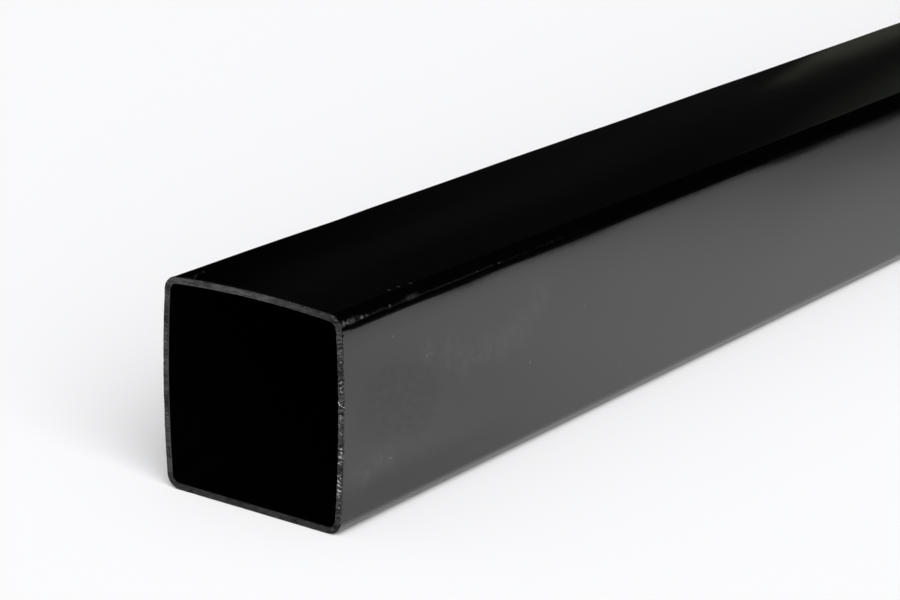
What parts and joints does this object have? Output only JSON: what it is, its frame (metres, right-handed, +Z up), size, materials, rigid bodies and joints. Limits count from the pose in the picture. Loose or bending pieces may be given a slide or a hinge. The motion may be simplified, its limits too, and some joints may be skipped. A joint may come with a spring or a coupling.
{
  "type": "pvc square tube",
  "caption": "Straight length of black rigid PVC square tube, thin-walled and open at both sawn ends, for frames, ducts and trim.",
  "frame": {"origin": "centre of the flat wall that the tube lies on, half way along its length", "axes": "+Y along the tube, away from the end that is seen; +Z up from the flat wall; +X to the right, seen from that end"},
  "size_m": [0.05, 1, 0.05],
  "materials": {
    "black_pvc": "smooth satin-gloss extruded skin, matt saw-cut ends"
  },
  "bodies": {
    "root": {"tube": "black_pvc"}
  },
  "joints": []
}
